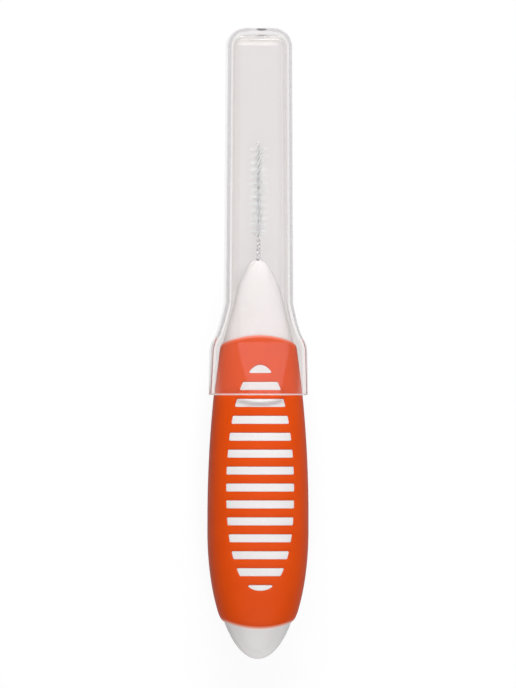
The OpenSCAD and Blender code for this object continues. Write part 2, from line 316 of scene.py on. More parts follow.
def sheetShape(sheet, level):  # where a sheet's points lie, level mm above the core's body
    data = np.array(sheet["points"])
    halfWidth, halfDepth = coreHalves(data[:, 2])
    return np.column_stack([data[:, 0] * (halfWidth + level), data[:, 2], data[:, 1] * (halfDepth + level)])


def outerPlaces(sheet):  # across and along, measured on the grip's outer face
    data = np.array(sheet["points"])
    return np.column_stack([data[:, 0] * (coreHalves(data[:, 2])[0] + handle["skin"]), data[:, 2]])


def addPiece(name, points, faces, facts):
    mesh = bpy.data.meshes.new(name)
    mesh.from_pydata(place(points).tolist(), [], faces)
    work = bmesh.new()
    work.from_mesh(mesh)
    bmesh.ops.recalc_face_normals(work, faces=work.faces)
    work.to_mesh(mesh)
    work.free()
    mesh.polygons.foreach_set("use_smooth", [True] * len(mesh.polygons))
    mesh.set_sharp_from_angle(angle=math.radians(facts["sharp"]))
    made = bpy.data.objects.new(name, mesh)
    bpy.context.scene.collection.objects.link(made)
    made.data.materials.append(facts["material"])
    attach(made, facts["body"])
    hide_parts(facts["node"])
    print("made %s: %d faces" % (name, len(faces)))
    return made


def linearColour(code):  # sRGB hex to the linear colour that the shaders use
    parts = [int(code[i:i + 2], 16) / 255 for i in (1, 3, 5)]
    return tuple(p / 12.92 if p <= 0.04045 else ((p + 0.055) / 1.055) ** 2.4 for p in parts) + (1,)


# One shader node. A link that names a node alone comes from its first output
def addNode(tree, kind, settings=None, links=None):
    made = tree.nodes.new("ShaderNode" + kind)
    for name, value in (settings or {}).items():
        if isinstance(name, int) or name in made.inputs:
            made.inputs[name].default_value = value
        else:
            setattr(made, name, value)
    for name, source in (links or {}).items():
        first = source.outputs[0] if isinstance(source, bpy.types.Node) else source
        tree.links.new(first, made.inputs[name])
    return made


def newMaterial(name):
    made = bpy.data.materials.new(name)
    made.use_nodes = True
    made.node_tree.nodes.clear()
    return made, made.node_tree


def objectNoise(tree, size, detail=2.0, stretch=None):  # noise whose grains are size mm across
    spot = addNode(tree, "TexCoord").outputs["Object"]
    if stretch:
        spot = addNode(tree, "Mapping", {"Scale": stretch}, {"Vector": spot})
    return addNode(tree, "TexNoise", {"Scale": 1 / (size * mm), "Detail": detail}, {"Vector": spot})


def twoTone(tree, noise, dark, light):  # a colour that drifts between two close tones
    settings = {"data_type": "RGBA", 6: linearColour(dark), 7: linearColour(light)}
    return addNode(tree, "Mix", settings, {0: noise.outputs["Fac"]}).outputs[2]


def ranged(tree, noise, low, high):  # noise, which mostly lies between 0.3 and 0.7, spread over a range
    settings = {"From Min": 0.3, "From Max": 0.7, "To Min": low, "To Max": high}
    return addNode(tree, "MapRange", settings, {"Value": noise.outputs["Fac"]})


# Settings of the clear material, with lengths in mm
clear = {
    "colours": ("#EEEBEA", "#F0EEED"),
    "edgeColour": "#F0EFF0",
    "rimDrop": 0.22,              # how much lower the mouth ends than the frame's
    "rimHeight": (0.12, 0.28),    # where its white edge ends: partly a scattering cut, partly a painted highlight
    "rimClear": 0.4,              # how see-through the edge itself is
    "ventSide": 0.35,             # how far the vent hole lies to the right of the middle
    "ventShadeRadius": 0.68,             # radius of the painted shade round it
    "ventDeep": 0.48,             # and how far in that goes
    "ventClear": 0.15,
    "ventShadeColour": "#5A5A5A",
    "trappedDepth": 1.5,          # glossy bounces after which a ray counts as trapped
    "lets": 0.96,                 # share of a lamp's light that passes a face
    "shade": 0.0,                 # the same where the rim throws its shade
    "shadeColour": "#5A1408",     # of the light that still comes through there
    "shadeBand": (0.55, 0.8),     # how far up from the mouth the shade fades out
    "shadeHeights": (4.08, 4.2),  # where it begins, out from the middle of the brush
    "shadeTops": (4.43, 4.52),    # and where it ends
    "shadeBow": 0.072,            # how fast those two fall to the sides, per mm
    "shadeReach": (2.6, 3.6),     # half width over which it fades out
    "evens": 0.9,                 # share of the soft light inside that the walls don't scatter
}
mouthY = capLow.y - clear["rimDrop"] * mm


# Moulded polypropylene from a polished mould: glossy, faintly uneven white
def mouldedPolypropylene():
    made, tree = newMaterial("moulded polypropylene")
    ripple = objectNoise(tree, 2.5)
    bump = addNode(tree, "Bump", {"Strength": 0.12, "Distance": 0.02 * mm},
                   {"Height": ripple.outputs["Fac"]})
    shader = addNode(tree, "BsdfPrincipled", {"IOR": 1.49}, {
        "Base Color": twoTone(tree, objectNoise(tree, 6), "#E5E1E0", "#ECE8E7"),
        "Roughness": ranged(tree, objectNoise(tree, 0.8), 0.2, 0.28),
        "Normal": bump,
    })
    addNode(tree, "OutputMaterial", {}, {"Surface": shader})
    return made


# 1 at a bowed edge of the grip, falling to 0 further in; side is -1 for the lower edge, 1 for the upper
def nearBowedEdge(tree, centre, side):
    middle = Vector((0, tailY + centre * mm, 0))
    spot = addNode(tree, "VectorMath", {"operation": "SUBTRACT", 1: middle},
                   {0: addNode(tree, "TexCoord").outputs["Object"]})
    parts = addNode(tree, "SeparateXYZ", {}, {0: spot})
    beyond = addNode(tree, "Math", {"operation": "MINIMUM" if side < 0 else "MAXIMUM", 1: 0.0},
                     {0: parts.outputs["Y"]})
    flat = addNode(tree, "CombineXYZ", {}, {0: parts.outputs["X"], 1: beyond})
    reach = addNode(tree, "VectorMath", {"operation": "LENGTH"}, {0: flat})
    low, high = [(grip["edgeRadius"] - inset) * mm for inset in grip["thinEdge"]]
    return addNode(tree, "MapRange", {"From Min": low, "From Max": high}, {
        "Value": reach.outputs["Value"]})


# Thermoplastic elastomer moulded against a spark-eroded face: satin, with a fine even grain
def mouldedElastomer():
    made, tree = newMaterial("soft moulded elastomer")
    grain = objectNoise(tree, 0.16, 3.0)  # the real grain is nearer 0.05 mm, too fine to show
    bump = addNode(tree, "Bump", {"Strength": 0.25, "Distance": 0.02 * mm},
                   {"Height": grain.outputs["Fac"]})
    # Towards its bowed edges the skin thins out and the white core shines through, and the pale edge also
    # paints in the bright line of light along them
    lower = nearBowedEdge(tree, lowCentre, -1)
    upper = nearBowedEdge(tree, highCentre, 1)
    upper = addNode(tree, "Math", {"operation": "MULTIPLY", 1: grip["thinUpper"]}, {0: upper})
    thin = addNode(tree, "Math", {"operation": "MAXIMUM"}, {0: lower, 1: upper})
    colour = addNode(tree, "Mix", {"data_type": "RGBA", 7: linearColour(grip["edgeSkinAndHighlightColour"])}, {
        0: thin, 6: twoTone(tree, objectNoise(tree, 4), "#D84604", "#E04E08")})
    shader = addNode(tree, "BsdfPrincipled", {"IOR": 1.42}, {
        "Base Color": colour.outputs[2],
        "Roughness": ranged(tree, grain, 0.5, 0.62),
        "Normal": bump,
    })
    addNode(tree, "OutputMaterial", {}, {"Surface": shader})
    return made


# Stainless wire drawn through a die: bright grey metal with fine streaks along it
def drawnStainless():
    made, tree = newMaterial("drawn stainless wire")
    # Real drawing lines are a few microns wide, too fine to show, so these are about 0.06 mm
    streaksRound, streaksPerMm = 14, 0.6
    lengthwise = addNode(tree, "Mapping", {"Scale": (streaksRound, streaksPerMm, 1)}, {
        "Vector": addNode(tree, "UVMap")})
    streaks = addNode(tree, "TexNoise", {"Scale": 1.0, "Detail": 2.0}, {"Vector": lengthwise})
    bump = addNode(tree, "Bump", {"Strength": 0.2, "Distance": 0.005 * mm},
                   {"Height": streaks.outputs["Fac"]})
    shader = addNode(tree, "BsdfPrincipled", {"Metallic": 1.0}, {
        "Base Color": twoTone(tree, streaks, "#DEDEE0", "#ECECEE"),
        "Roughness": ranged(tree, streaks, 0.36, 0.5),
        "Normal": bump,
    })
    addNode(tree, "OutputMaterial", {}, {"Surface": shader})
    return made


# Nylon filament, extruded and undyed: milky, half see-through threads
def undyedNylon():
    made, tree = newMaterial("undyed nylon filament")
    shader = addNode(tree, "BsdfPrincipled", {"IOR": 1.53, "Transmission Weight": 0.5}, {
        "Base Color": twoTone(tree, objectNoise(tree, 0.5), "#DADDDC", "#E7E9E8"),
        "Roughness": ranged(tree, objectNoise(tree, 0.3), 0.35, 0.5),
    })
    lit = addNode(tree, "BsdfTransparent", {"Color": (0.9, 0.9, 0.9, 1)})
    rays = addNode(tree, "LightPath")
    mix = addNode(tree, "MixShader", {}, {0: rays.outputs["Is Shadow Ray"], 1: shader, 2: lit})
    addNode(tree, "OutputMaterial", {}, {"Surface": mix})
    return made


# Clarified polypropylene, injection moulded: clear, slightly grey, with a white rim edge that is partly a
# scattering cut and partly a painted highlight
def clarifiedPolypropylene():
    made, tree = newMaterial("clarified polypropylene")
    spot = addNode(tree, "TexCoord").outputs["Object"]
    parts = addNode(tree, "SeparateXYZ", {}, {0: spot})
    flow = objectNoise(tree, 5, 1.0, (1.0, 0.35, 1.0))
    bump = addNode(tree, "Bump", {"Strength": 0.03, "Distance": 0.02 * mm},
                   {"Height": flow.outputs["Fac"]})
    # Painted shade: the wall round the vent hole is made dark and less clear, standing for the shade in the
    # hole
    settings = {"operation": "MULTIPLY_ADD", 1: (1, 0, 1), 2: (-clear["ventSide"] * mm, 0, -axisZ)}
    fromVent = addNode(tree, "VectorMath", settings, {0: spot})
    fromVent = addNode(tree, "VectorMath", {"operation": "LENGTH"}, {0: fromVent})
    settings = {"operation": "LESS_THAN", 1: clear["ventShadeRadius"] * mm}
    nearVent = addNode(tree, "Math", settings, {0: fromVent.outputs["Value"]})
    settings = {"operation": "GREATER_THAN", 1: capHigh.y - clear["ventDeep"] * mm}
    nearEnd = addNode(tree, "Math", settings, {0: parts.outputs["Y"]})
    paintedVentShade = addNode(tree, "Math", {"operation": "MULTIPLY"}, {0: nearVent, 1: nearEnd})
    tint = addNode(tree, "Mix", {"data_type": "RGBA", 7: linearColour(clear["ventShadeColour"])}, {
        0: paintedVentShade, 6: twoTone(tree, objectNoise(tree, 12), *clear["colours"])})
    # The rim's edge turns white and less clear: partly the scatter of a cut edge, partly a painted
    # highlight standing for the bright line of light along the rim
    low, high = clear["rimHeight"]
    pastRimHighlight = addNode(tree, "MapRange", {
        "From Min": mouthY + low * mm, "From Max": mouthY + high * mm,
        "To Min": clear["rimClear"], "To Max": 1.0}, {"Value": parts.outputs["Y"]})
    tint = addNode(tree, "Mix", {"data_type": "RGBA", 6: (1, 1, 1, 1)}, {0: pastRimHighlight, 7: tint.outputs[2]})
    pastVent = addNode(tree, "MapRange", {"To Min": 1.0, "To Max": clear["ventClear"]}, {"Value": paintedVentShade})
    seesThrough = addNode(tree, "Math", {"operation": "MULTIPLY"}, {0: pastRimHighlight, 1: pastVent})
    shader = addNode(tree, "BsdfPrincipled", {"IOR": 1.49}, {
        "Base Color": tint.outputs[2],
        "Roughness": ranged(tree, objectNoise(tree, 3), 0.03, 0.07),
        "Transmission Weight": seesThrough,
        "Normal": bump,
    })
    # A ray that the wall has trapped comes out towards the pale surroundings
    rays = addNode(tree, "LightPath")
    settings = {"operation": "GREATER_THAN", 1: clear["trappedDepth"]}
    trapped = addNode(tree, "Math", settings, {0: rays.outputs["Glossy Depth"]})
    leaves = addNode(tree, "BsdfTransparent", {"Color": linearColour(clear["edgeColour"])})
    wall = addNode(tree, "MixShader", {}, {0: trapped, 1: shader, 2: leaves})
    # The thick rim bends light away, which leaves a soft shadow on the handle below it. Lamp light
    # goes straight through this material, so a bowed band just above the mouth holds some back
    height = addNode(tree, "Math", {"operation": "SUBTRACT", 1: axisZ}, {0: parts.outputs["Z"]})
    height = addNode(tree, "Math", {"operation": "ABSOLUTE"}, {0: height})
    across = addNode(tree, "Math", {"operation": "MULTIPLY"}, {
        0: parts.outputs["X"], 1: parts.outputs["X"]})
    height = addNode(tree, "Math", {"operation": "MULTIPLY_ADD", 1: clear["shadeBow"] / mm}, {
        0: across, 2: height})
    passed = addNode(tree, "Math", {"operation": "MULTIPLY", 1: clear["lets"]}, {
        0: addNode(tree, "NewGeometry").outputs["Backfacing"]})
    inside, outside = clear["shade"], clear["lets"]
    limits = (
        (parts.outputs["Y"], [mouthY + edge * mm for edge in clear["shadeBand"]], inside, outside),
        (height, [edge * mm for edge in clear["shadeHeights"]], outside, inside),
        (height, [edge * mm for edge in clear["shadeTops"]], inside, outside),
        (across, [(edge * mm) ** 2 for edge in clear["shadeReach"]], inside, outside),
    )
    for value, (low, high), first, last in limits:
        settings = {"From Min": low, "From Max": high, "To Min": first, "To Max": last}
        limit = addNode(tree, "MapRange", settings, {"Value": value})
        passed = addNode(tree, "Math", {"operation": "MAXIMUM"}, {0: passed, 1: limit})
    settings = {"data_type": "RGBA", 6: linearColour(clear["shadeColour"]), 7: (1, 1, 1, 1)}
    passed = addNode(tree, "Mix", settings, {0: passed})
    lit = addNode(tree, "BsdfTransparent", {}, {"Color": passed.outputs[2]})
    soft = addNode(tree, "Math", {"operation": "MULTIPLY", 1: clear["evens"]},
                   {0: rays.outputs["Is Diffuse Ray"]})
    forLight = addNode(tree, "Math", {"operation": "MAXIMUM"},
                       {0: rays.outputs["Is Shadow Ray"], 1: soft})
    mix = addNode(tree, "MixShader", {}, {0: forLight, 1: wall, 2: lit})
    addNode(tree, "OutputMaterial", {}, {"Surface": mix})
    return made


# Core: tail, ribs and nose in one moulding
core = {
    "ribTop": 0.34,              # ribs end a little below the face of the grip
    "ribEdge": [0.16, 0.1, 0.05, 0.02, 0.005],      # distances in from the slot's edge
    "ribDrop": [0, 0.004, 0.012, 0.025, 0.34],      # how far the rib has fallen there
    "ribSpare": 1e-4,            # counts a point on the last of those lines as on the rib
    "patchLow": 7.5,             # the stretch that is meshed round the slots
    "patchHigh": 40.25,
    "rowStep": 0.4,
    "tailRings": 30,
    "neckRings": 8,
    "noseRings": 36,
    "tipRound": 0.1,
    "tipRings": 5,
    "boreRadius": 0.33,
    "boreDepth": 1.2,
    "sharp": 50,
    "body": "handle",
    "node": "handle_core",
    "slot": "white_polypropylene",
    "material": mouldedPolypropylene(),
}
patchRows = np.linspace(core["patchLow"], core["patchHigh"],
                        round((core["patchHigh"] - core["patchLow"]) / core["rowStep"]) + 1)


def makeCore():
    sheet = newSheet()

    def ring(s):
        return [sheetPoint(sheet, x, z, s) for x, z in zip(ringX, ringZ)]

    lowAngle = math.acos(1 - core["patchLow"] / handle["tail"])
    tail = [handle["tail"] * (1 - math.cos(lowAngle * k / core["tailRings"]))
            for k in range(1, core["tailRings"])]
    neck = list(np.linspace(core["patchHigh"], noseStart, core["neckRings"] + 1)[1:])
    noseEnd = noseTip - core["tipRound"]
    nose = [noseEnd - (noseEnd - noseStart) * (1 - k / core["noseRings"]) ** 2
            for k in range(1, core["noseRings"] + 1)]
    lower = [ring(s) for s in tail + [core["patchLow"]]]
    upper = [ring(s) for s in [core["patchHigh"]] + neck + nose]
    for rings in (lower, upper):
        for a, b in zip(rings[:-1], rings[1:]):
            addBand(sheet, a, b)
    addPatch(sheet, patchRows, [-d for d in core["ribEdge"]], True, "slots")
    addSides(sheet, patchRows)
    inside = -slotDistance(outerPlaces(sheet))
    drop = np.interp(inside, core["ribEdge"][::-1], core["ribDrop"][::-1])
    level = np.where(inside > core["ribEdge"][-1] - core["ribSpare"], core["ribTop"] - drop, 0)
    points = list(sheetShape(sheet, level))
    faces = list(sheet["faces"])
    points.append((0, 0, 0))
    faces += [(len(points) - 1, lower[0][i], lower[0][(i + 1) % len(ringX)]) for i in range(len(ringX))]
    # The tip of the nose: a small rounding, then the bore that the wire leaves by
    last = upper[-1]
    width, depth = [float(h) for h in coreHalves(noseEnd)]
    bore, corner = core["boreRadius"], core["tipRound"]
    steps = [(corner * (1 - math.cos(a)), noseEnd + corner * math.sin(a))
             for a in np.linspace(0, math.pi / 2, core["tipRings"] + 1)[1:]]
    angles = np.arctan2(ringZ * depth, ringX * width)
    for inset, s in steps:
        points += [((width - inset) * x, s, (depth - inset) * z) for x, z in zip(ringX, ringZ)]
    for radius, s in ((bore, noseTip), (bore, noseTip - core["boreDepth"])):
        points += [(radius * math.cos(a), s, radius * math.sin(a)) for a in angles]
    n = len(ringX)
    start = len(points) - n * (len(steps) + 2)
    for k in range(len(steps) + 2):
        fresh = list(range(start + n * k, start + n * (k + 1)))
        faces += [(last[i], fresh[i], fresh[(i + 1) % n], last[(i + 1) % n]) for i in range(n)]
        last = fresh
    faces.append(tuple(last))
    return addPiece("core_moulding", points, faces, core)


# Grip: a soft sleeve over the core, thinning at its two bowed ends
grip = {
    "edgeRadius": 12,          # of the bowed ends, seen from the front
    "lowDrop": 0.1,            # how much lower the thin lower edge ends than the frame's
    "lowRound": 1.0,           # length over which the tail end thins
    "highRound": 0.55,         # the same at the nose end
    "edgeThick": 0.07,
    "thinEdge": (0.42, 0.04),  # from where to where a bowed edge turns pale, inwards from it
    "thinUpper": 0.45,         # how much of that the upper edge shows
    "edgeSkinAndHighlightColour": "#F4C4B4",
    "inner": 0.01,
    "rings": 9,                # in each thinning end
    "rowTries": 12,            # steps in which a bowed row settles on the body
    "plain": 6,                # from there to the slotted stretch
    "loops": [0, 0.015, 0.04, 0.075, 0.13, 0.24, 0.38],
    "edgeDrop": 0.05,          # rounding of the bars along the slots
    "crown": 0.035,            # how much the middle of a bar stands above its edges
    "sharp": 50,
    "body": "handle",
    "node": "grip",
    "slot": "orange_elastomer",
}
lowCentre = gripStart + grip["edgeRadius"] - grip["lowDrop"]
highCentre = gripEnd - grip["edgeRadius"]
grip["material"] = mouldedElastomer()


def edgeDistance(places):  # how far in from the grip's bowed ends a place lies
    low = grip["edgeRadius"] - np.hypot(places[:, 0], np.minimum(places[:, 1] - lowCentre, 0))
    high = grip["edgeRadius"] - np.hypot(places[:, 0], np.maximum(places[:, 1] - highCentre, 0))
    return np.maximum(low, 0), np.maximum(high, 0)


def gripLevel(places):
    lowIn, highIn = edgeDistance(places)
    rise = handle["skin"] - grip["edgeThick"]
    thick = np.full(len(places), handle["skin"])
    for distance, reach, part in ((lowIn, grip["lowRound"], places[:, 1] < lowCentre),
                                  (highIn, grip["highRound"], places[:, 1] > highCentre)):
        thin = grip["edgeThick"] + rise * np.sqrt(1 - (1 - np.clip(distance / reach, 0, 1)) ** 2)
        thick = np.where(part, np.minimum(thick, thin), thick)
    off = np.maximum(slotDistance(places), 0)
    corner = grip["edgeDrop"]
    drop = corner * (1 - np.sqrt(1 - (1 - np.clip(off / corner, 0, 1)) ** 2))
    barHalf = (slotPitch - slots["height"]) / 2
    crown = grip["crown"] * (1 - np.clip(off / barHalf, 0, 1)) ** 2
    return thick - drop - crown


def makeGrip():
    sheet = newSheet()

    def edgeRow(centre, sign, inset):  # the ring that lies inset mm in from a bowed end
        s = np.full(len(ringX), centre + sign * (grip["edgeRadius"] - inset))
        for _ in range(grip["rowTries"]):
            x = ringX * (coreHalves(s)[0] + handle["skin"])
            s = centre + sign * np.sqrt(np.maximum((grip["edgeRadius"] - inset) ** 2 - x ** 2, 0))
        return s

    def rows(centre, sign, reach, far):
        insets = [reach * (1 - math.cos(a)) for a in np.linspace(0, math.pi / 2, grip["rings"] + 1)]
        made = [edgeRow(centre, sign, inset) for inset in insets]
        for k in range(1, grip["plain"] + 1):
            made.append(made[len(insets) - 1] + (far - made[len(insets) - 1]) * k / grip["plain"])
        made[-1] = np.full(len(ringX), far)
        return [[sheetPoint(sheet, x, z, s) for x, z, s in zip(ringX, ringZ, row)] for row in made]

    lower = rows(lowCentre, -1, grip["lowRound"], patchRows[0])
    upper = rows(highCentre, 1, grip["highRound"], patchRows[-1])
    for rings in (lower, upper):
        for a, b in zip(rings[:-1], rings[1:]):
            addBand(sheet, a, b)
    addPatch(sheet, patchRows, grip["loops"], False, "bars")
    addSides(sheet, patchRows)
    outer = sheetShape(sheet, gripLevel(outerPlaces(sheet)))
    inner = sheetShape(sheet, grip["inner"])
    count = len(outer)
    faces = list(sheet["faces"]) + [tuple(n + count for n in face[::-1]) for face in sheet["faces"]]
    used = {}
    for face in sheet["faces"]:
        for a, b in zip(face, face[1:] + face[:1]):
            key = (min(a, b), max(a, b))
            used[key] = None if key in used else (a, b)
    faces += [(b, a, a + count, b + count) for a, b in filter(None, used.values())]
    return addPiece("soft_grip", np.vstack([outer, inner]), faces, grip)


def tube(path, outs, radius, sides):  # rings of points round a path, with outs pointing off it
    path, outs = np.asarray(path, float), np.asarray(outs, float)
    ahead = np.vstack([path[1:], path[-1:]])
    behind = np.vstack([path[:1], path[:-1]])
    line = ahead - behind
    line /= np.linalg.norm(line, axis=1)[:, None]
    flat = outs - (outs * line).sum(1)[:, None] * line
    flat /= np.linalg.norm(flat, axis=1)[:, None]
    cross = np.cross(line, flat)
    turns = np.arange(sides) * 2 * math.pi / sides
    radius = np.broadcast_to(radius, len(path))
    rings = [path[k] + radius[k] * (math.cos(a) * flat[k] + math.sin(a) * cross[k])
             for k in range(len(path)) for a in turns]
    last = (len(path) - 1) * sides
    faces = [(k + i, k + (i + 1) % sides, k + sides + (i + 1) % sides, k + sides + i)
             for k in range(0, last, sides) for i in range(sides)]
    faces += [tuple(range(sides)), tuple(range(last, last + sides))[::-1]]
    return rings, faces


# Wire: folded in two and twisted to the left, tighter where no filaments lie in it
wire = {
    "strand": 0.125,       # radius of one strand
    "gap": 0.1,            # between the strands
    "stemPitch": 1.2,
    "brushPitch": 1.84,
    "phase": 115.4,        # degrees, so that the loop at the tip faces the front
    "turnSteps": 20,
    "loopSteps": 12,
    "sides": 12,
    "sharp": 60,
    "body": "handle",
    "node": "wire_stem",
    "slot": "stainless_wire",
    "material": drawnStainless(),
}
orbit = wire["strand"] + wire["gap"] / 2
bristleEnd = along(brushHigh.y)
bristleStart = along(brushLow.y)
wireStart = along(wireLow.y)
wireTop = along(wireHigh.y) - orbit - wire["strand"]


def strandAngle(s):
    stem = np.minimum(s, bristleStart) - wireStart
    brush = np.maximum(s - bristleStart, 0)
    turns = stem / wire["stemPitch"] + brush / wire["brushPitch"]
    return math.radians(wire["phase"]) - 2 * math.pi * turns


def makeWire():
    turns = (bristleStart - wireStart) / wire["stemPitch"] + (wireTop - bristleStart) / wire["brushPitch"]
    steps = math.ceil(turns * wire["turnSteps"])
    path, outs = [], []
    for s in np.linspace(wireStart, wireTop, steps):
        a = float(strandAngle(s))
        outs.append((math.cos(a), 0, math.sin(a)))
        path.append((orbit * math.cos(a), s, orbit * math.sin(a)))
    a = float(strandAngle(wireTop))
    for turn in np.linspace(0, math.pi, wire["loopSteps"] + 1)[1:-1]:
        out = (math.cos(turn) * math.cos(a), math.sin(turn), math.cos(turn) * math.sin(a))
        outs.append(out)
        path.append((orbit * out[0], wireTop + orbit * out[1], orbit * out[2]))
    for k in range(steps - 1, -1, -1):
        outs.append((-outs[k][0], 0, -outs[k][2]))
        path.append((-path[k][0], path[k][1], -path[k][2]))
    points, faces = tube(path, outs, wire["strand"], wire["sides"])
    made = addPiece("twisted_wire", points, faces, wire)
    lengths = np.concatenate([[0], np.cumsum(np.linalg.norm(np.diff(np.array(path), axis=0), axis=1))])
    layer = made.data.uv_layers.new(name="lengthwise")
    for loop in made.data.loops:  # u goes round the strand and v along it, in mm
        ring, side = divmod(loop.vertex_index, wire["sides"])
        layer.data[loop.index].uv = (side / wire["sides"], lengths[ring])
    return made


# Bristles: fine filaments, gripped at their middles and fanned out by the twist
bristles = {
    "count": 280,
    "radius": 0.022,
    "tipShare": 0.8,       # how much of its thickness a cut tip keeps
    "halfLength": (brushHigh.x - brushLow.x) / 2 / mm,
    "shorter": 0.3,        # most that a filament falls short
    "fan": 22,             # degrees that one leans away from its place in the twist
    "lean": 0.16,          # and its tip along the wire, as a share of its length
    "bow": 0.05,
    "spread": 0.5,         # how far most of them stray, as a share of those three
    "steps": 6,
    "sides": 5,
    "seed": 4,
    "sharp": 60,
    "body": "handle",
    "node": "bristles",
    "slot": "nylon_filament",
    "material": undyedNylon(),
}


def makeBristles():
    chance = np.random.default_rng(bristles["seed"])
    points, faces = [], []
    margin = bristles["halfLength"] * bristles["lean"]
    spots = np.linspace(bristleStart + margin, bristleEnd - margin, bristles["count"])
    for s in spots:
        a = float(strandAngle(s)) + math.pi / 2
        for side in (0, math.pi):
            lean = math.radians(bristles["fan"]) * chance.normal() * bristles["spread"]
            reach = bristles["halfLength"] * (1 - bristles["shorter"] * chance.random())
            shift = np.clip(chance.normal() * bristles["spread"], -1, 1) * margin
            bow = bristles["bow"] * chance.normal() * bristles["spread"]
            path = []
            for t in np.linspace(0, 1, bristles["steps"]):
                turn = a + side + lean * t + bow * t * t
                path.append((reach * t * math.cos(turn), s + shift * t * t, reach * t * math.sin(turn)))
            radius = bristles["radius"] * np.linspace(1, bristles["tipShare"], bristles["steps"])
            strand, sides = tube(path, [(0, 1, 0)] * len(path), radius, bristles["sides"])
            faces += [tuple(n + len(points) for n in face) for face in sides]
            points += strand
    return addPiece("nylon_bristles", points, faces, bristles)


# Cap: skirt, shoulder and tube in one clear moulding, with a vent hole in its closed end
cap = {
    "wall": 0.7,
    "endWall": 0.8,
    "skirt": 5.8,
    "skirtDraft": 0.17,
    "shoulder": 6.6,
    "trim": 0.09,          # how much slimmer the mouth looks than the frame's
    "noseRoomWidth": 0.38,
    "noseRoomDepth": 1.2,
    "tubeDraft": 0.19,
    "tubeCorner": 1.65,
    "mouthFlatWidth": 2,
    "mouthFlatDepth": 0.6,
    "endRound": 2.5,
    "rimRound": 0.16,
    "ventRadius": 0.55,
    "ventEdge": 0.08,
    "cornerSteps": 20,
    "skirtRings": 8,
    "shoulderRings": 40,
    "tubeRings": 12,
    "endRings": 14,
    "rimRings": 4,
    "sharp": 60,
    "body": "cap",
    "node": "cap",
    "slot": "clear_plastic",
    "material": clarifiedPolypropylene(),
}
# Shoulder: share of its length upwards, and share of its flare that is left there
flareShares = [(0, 1), (0.09, 0.955), (0.18, 0.86), (0.27, 0.69), (0.36, 0.55),
               (0.47, 0.42), (0.6, 0.29), (0.75, 0.17), (0.88, 0.07), (1, 0)]
mouthWidth, mouthDepth = (capHigh.x - capLow.x) / 2 / mm - cap["trim"], (capHigh.z - capLow.z) / 2 / mm
capSeat, capTop = along(mouthY), along(capHigh.y)
skirtTop = capSeat + cap["skirt"]
tubeStart = skirtTop + cap["shoulder"]
tubeWidth = float(coreHalves(tubeStart)[0]) + cap["noseRoomWidth"] + cap["wall"]
tubeDepth = float(coreHalves(tubeStart)[1]) + cap["noseRoomDepth"] + cap["wall"]


def flareLeft(share):  # a smooth curve through the shoulder's shares that never turns back
    x, y = np.array(flareShares, float).T
    slope = np.diff(y) / np.diff(x)
    bend = np.zeros(len(x))
    bend[1:-1] = 2 * slope[:-1] * slope[1:] / (slope[:-1] + slope[1:])
    k = min(int(np.searchsorted(x, share, side="right")) - 1, len(x) - 2)
    width = x[k + 1] - x[k]
    t = (share - x[k]) / width
    return ((1 + 2 * t) * (1 - t) ** 2 * y[k] + t * (1 - t) ** 2 * width * bend[k]
            + t * t * (3 - 2 * t) * y[k + 1] + t * t * (t - 1) * width * bend[k + 1])


def capRing(s, halfWidth, halfDepth, cornerWidth, cornerDepth):
    ring = []
    for q in range(4):
        signX, signZ = (1 if q in (0, 3) else -1), (1 if q < 2 else -1)
        for i in range(cap["cornerSteps"] + 1):
            a = math.pi / 2 * (q + i / cap["cornerSteps"])
            ring.append((signX * (halfWidth - cornerWidth) + cornerWidth * math.cos(a), s,
                         signZ * (halfDepth - cornerDepth) + cornerDepth * math.sin(a)))
    return ring


def ventRing(s, radius):
    return [(clear["ventSide"] + radius * math.cos(math.pi / 2 * (q + i / cap["cornerSteps"])), s,
             radius * math.sin(math.pi / 2 * (q + i / cap["cornerSteps"])))
            for q in range(4) for i in range(cap["cornerSteps"] + 1)]


def capSection(s):  # half width, half depth and corner radii of the outside at s
    share = max(0, (tubeStart - s) / (tubeStart - capSeat))
    corners = [cap["tubeCorner"] + (half - flat / 2 - cap["tubeCorner"]) * share
               for half, flat in ((mouthWidth, cap["mouthFlatWidth"]), (mouthDepth, cap["mouthFlatDepth"]))]
    halves = []
    for mouth, tubeHalf, draft in ((mouthWidth, tubeWidth, cap["tubeDraft"]), (mouthDepth, tubeDepth, 0)):
        top = mouth - cap["skirtDraft"]
        if s < skirtTop:
            halves.append(mouth - cap["skirtDraft"] * (s - capSeat) / cap["skirt"])
        elif s < tubeStart:
            halves.append(tubeHalf + (top - tubeHalf) * flareLeft((s - skirtTop) / cap["shoulder"]))
        else:
            straight = capTop - cap["endRound"] - tubeStart
            halves.append(tubeHalf - draft * min(1, (s - tubeStart) / straight))
    return halves + corners


def capRings(inset, lowest, top, edge):  # rings from the mouth to the flat of the closed end
    rings = []
    for a in np.linspace(math.pi / 2, 0, cap["rimRings"] + 1):  # rounded edge of the rim
        section = [value - inset for value in capSection(lowest)]
        s = lowest + edge * (1 - math.sin(a))
        pull = edge * (1 - math.cos(a)) * (1 if inset == 0 else -1)
        rings.append(capRing(s, *[value - pull for value in section]))
    corner = cap["endRound"] - inset
    levels = list(np.linspace(lowest + edge, skirtTop, cap["skirtRings"] + 1)[1:])
    levels += list(np.linspace(skirtTop, tubeStart, cap["shoulderRings"] + 1)[1:])
    levels += list(np.linspace(tubeStart, top - corner, cap["tubeRings"] + 1)[1:])
    rings += [capRing(s, *[value - inset for value in capSection(s)]) for s in levels]
    width, depth, cornerWidth, cornerDepth = [value - inset for value in capSection(top - corner)]
    for a in np.linspace(0, math.pi / 2, cap["endRings"] + 1)[1:]:
        pull = corner * (1 - math.cos(a))
        rings.append(capRing(top - corner * (1 - math.sin(a)), width - pull, depth - pull,
                             cornerWidth * (width - pull) / width, cornerDepth * (depth - pull) / depth))
    return rings


